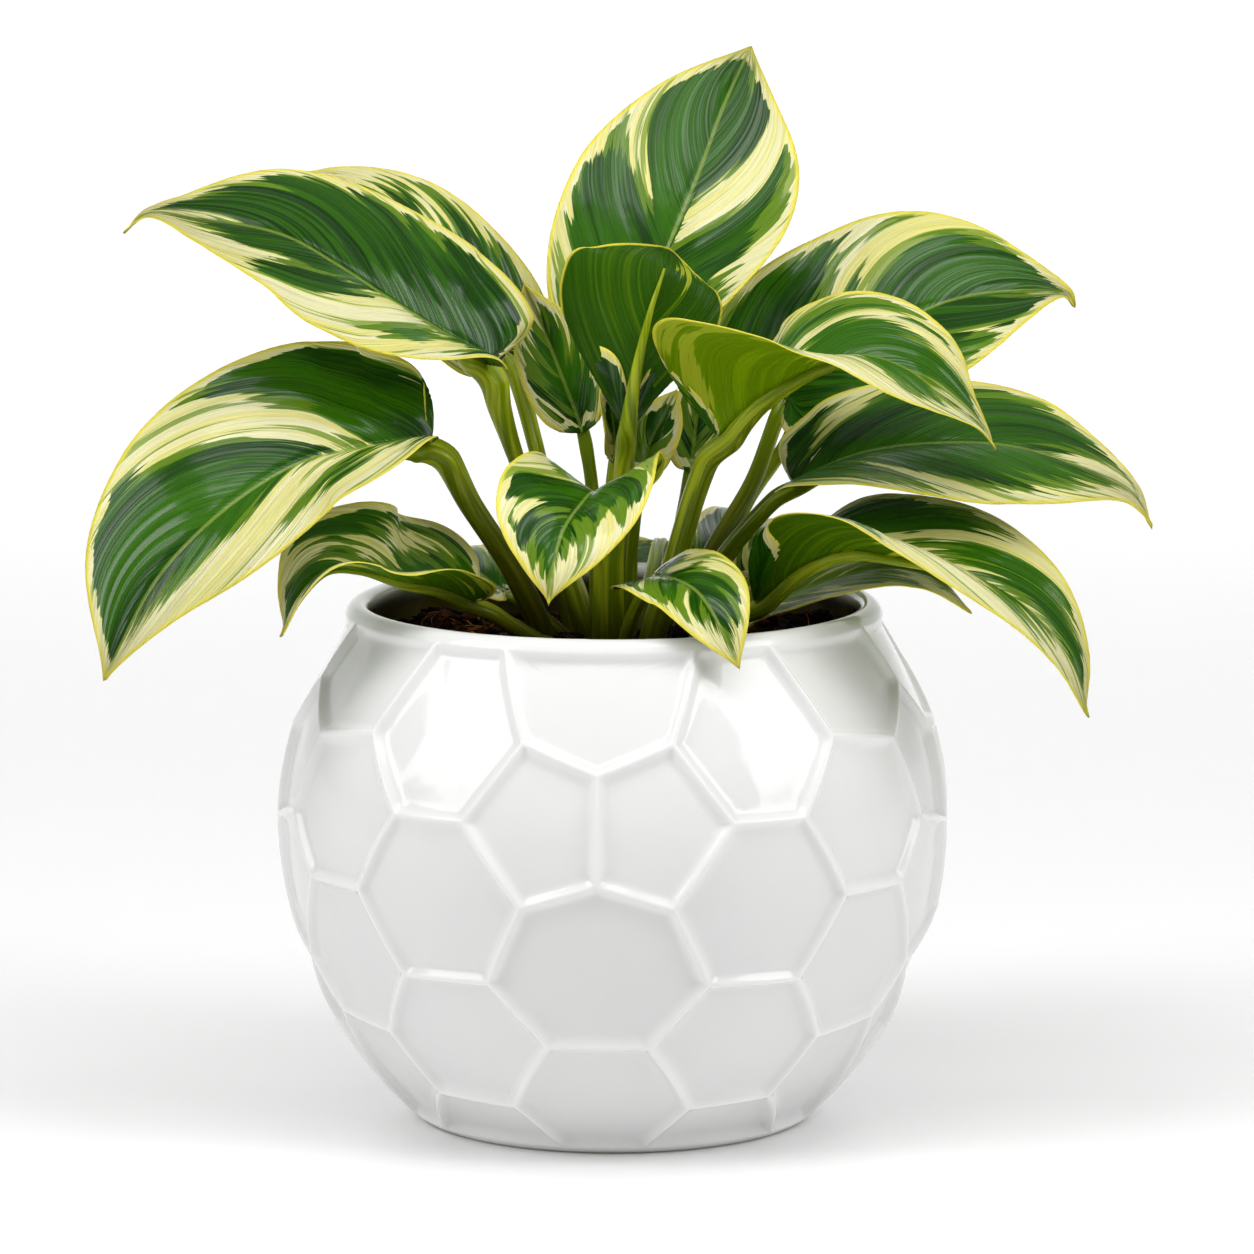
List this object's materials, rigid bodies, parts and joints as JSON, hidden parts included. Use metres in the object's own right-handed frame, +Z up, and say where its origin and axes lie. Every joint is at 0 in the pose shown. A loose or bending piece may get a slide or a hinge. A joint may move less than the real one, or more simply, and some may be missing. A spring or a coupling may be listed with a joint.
{
  "type": "potted plant",
  "caption": "Leafy variegated pothos growing from soil in a round white glazed pot with a raised net of ridges.",
  "frame": {"origin": "centre of the pot's flat base", "axes": "+Z up, -Y towards the front, where the panel pattern has its middle ridge, and +X to the right seen from the front"},
  "size_m": [0.2317, 0.1731, 0.2352],
  "materials": {
    "glaze": "gloss",
    "soil": "matte",
    "leaf": "satin"
  },
  "bodies": {
    "root": {"pot": "glaze", "soil": "soil", "leaf_top": "leaf", "leaf_upper_left": "leaf", "leaf_centre": "leaf", "leaf_upper_right": "leaf", "leaf_right_folded": "leaf", "leaf_right": "leaf", "leaf_lower_right": "leaf", "leaf_low_right": "leaf", "leaf_left": "leaf", "leaf_lower_left": "leaf", "leaf_low_left": "leaf", "leaf_front": "leaf", "leaf_front_right": "leaf", "leaf_behind_left": "leaf", "leaf_inner_left": "leaf", "leaf_bud": "leaf", "leaf_small_centre": "leaf", "leaf_small_right": "leaf", "leaf_back_small": "leaf", "leaf_back_right_low": "leaf", "leaf_back_right": "leaf", "leaf_back": "leaf", "leaf_back_left": "leaf"}
  },
  "joints": []
}
